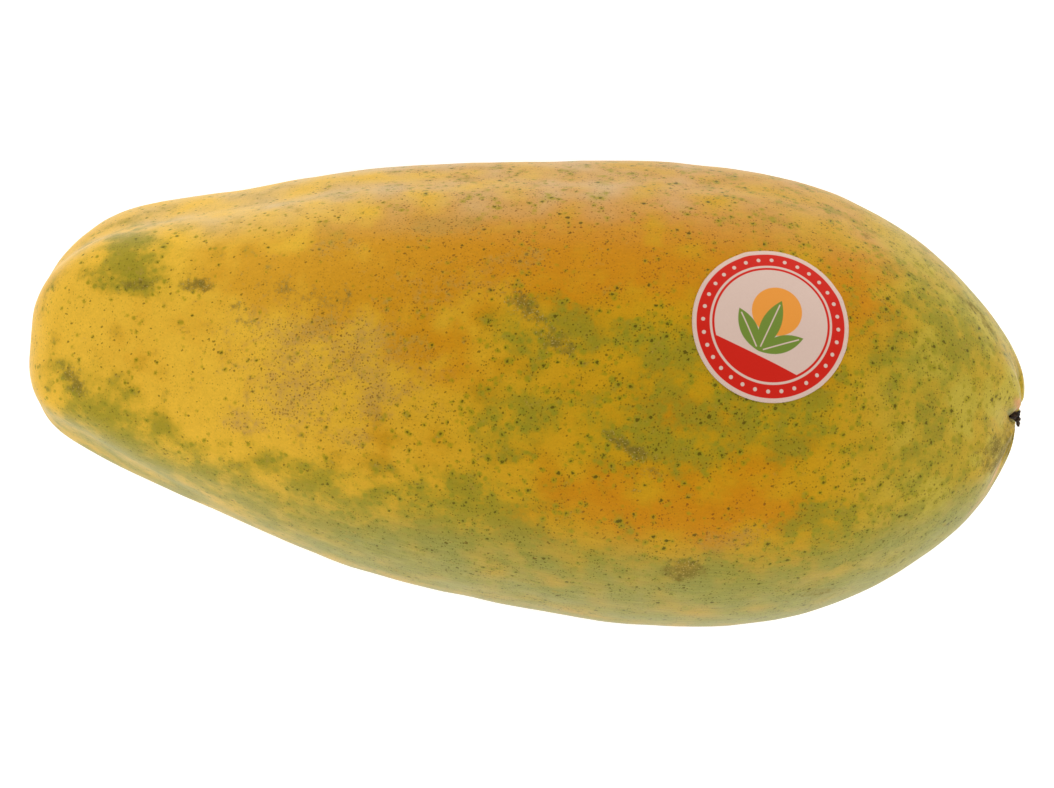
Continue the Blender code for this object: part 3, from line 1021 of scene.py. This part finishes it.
class PAPAYA_OT_stage(Operator):
    """Sets the pale floor, the soft lights and the camera overhead"""

    bl_idname = "papaya.stage"
    bl_label = "Stage"

    def execute(self, context):
        stage = context.scene.papaya_stage
        self.room(context.scene, stage)
        self.floor(stage)
        self.soft_light("key_light", KEY_PLACE, stage.key_power)
        self.soft_light("fill_light", FILL_PLACE, stage.fill_power)
        camera = bpy.data.cameras.new("camera")
        camera.lens = stage.lens
        camera.sensor_width = SENSOR_WIDTH_MM
        camera.sensor_fit = "HORIZONTAL"
        holder = add_object("camera", camera)
        holder.location = (stage.centre_x, stage.centre_y, stage.camera_height)
        holder.rotation_euler = (0.0, 0.0, stage.camera_roll)
        context.scene.camera = holder
        return {"FINISHED"}

    @staticmethod
    def room(scene, stage):
        scene.view_settings.view_transform = "Standard"
        scene.world = bpy.data.worlds.new("light_tent")
        scene.world.use_nodes = True
        tent = Paint.over(scene.world.node_tree)
        up = tent.wire(tent.node("ShaderNodeSeparateXYZ", None, {"Vector": tent.direction()}), 2)
        opening = tent.rise(up, *TENT_OPENING)
        glow = stage.tent_light + (stage.opening_light - stage.tent_light) * opening
        background = tent.tree.nodes["Background"]
        tent.feed(background.inputs["Strength"], glow)
        background.inputs["Color"].default_value = WHITE

    @staticmethod
    def floor(stage):
        sheet = bmesh.new()
        bmesh.ops.create_grid(sheet, x_segments=4, y_segments=4, size=FLOOR_HALF_WIDTH)
        mesh = bpy.data.meshes.new("floor")
        sheet.to_mesh(mesh)
        sheet.free()
        paint = Paint("pale_floor")
        finished = paint.finish(
            base_color=(*stage.floor, 1.0),
            roughness=0.9,
            emission_color=WHITE,
            emission_strength=stage.floor_glow,
        )
        mesh.materials.append(finished)
        add_object("floor", mesh)

    @staticmethod
    def soft_light(name, place, power):
        """A wide soft light that faces the fruit."""
        light = bpy.data.lights.new(name, "AREA")
        light.shape = "RECTANGLE"
        light.size, light.size_y = LIGHT_SIZE
        light.energy = power
        holder = add_object(name, light)
        holder.location = place
        away = Vector(place) - Vector(LIT_POINT)
        holder.rotation_euler = away.to_track_quat("Z", "Y").to_euler()


class PAPAYA_PT_panel(Panel):
    """Lists the pieces and their sizes and colours"""

    bl_idname = "PAPAYA_PT_panel"
    bl_label = "Papaya"
    bl_space_type = "VIEW_3D"
    bl_region_type = "UI"
    bl_category = "Papaya"

    def draw(self, context):
        for group, operators in SECTIONS:
            box = self.layout.box()
            settings = getattr(context.scene, group)
            for name in type(settings).__annotations__:
                box.prop(settings, name)
            for operator in operators:
                box.operator(operator)


GROUPS = {
    "papaya_form": PAPAYA_PG_form,
    "papaya_colours": PAPAYA_PG_colours,
    "papaya_label": PAPAYA_PG_label,
    "papaya_stage": PAPAYA_PG_stage,
}
SECTIONS = (
    ("papaya_form", ("papaya.skin", "papaya.remnant")),
    ("papaya_colours", ()),
    ("papaya_label", ("papaya.label",)),
    ("papaya_stage", ("papaya.stage",)),
)
OPERATORS = (PAPAYA_OT_skin, PAPAYA_OT_remnant, PAPAYA_OT_label, PAPAYA_OT_stage)


def register():
    for each in (*GROUPS.values(), *OPERATORS, PAPAYA_PT_panel):
        bpy.utils.register_class(each)
    for name, group in GROUPS.items():
        setattr(bpy.types.Scene, name, PointerProperty(type=group))


def unregister():
    for name in GROUPS:
        delattr(bpy.types.Scene, name)
    for each in reversed((*GROUPS.values(), *OPERATORS, PAPAYA_PT_panel)):
        bpy.utils.unregister_class(each)


def main():
    register()
    bpy.ops.papaya.skin()
    bpy.ops.papaya.remnant()
    bpy.ops.papaya.label()
    bpy.ops.papaya.stage()


if __name__ == "__main__":
    main()
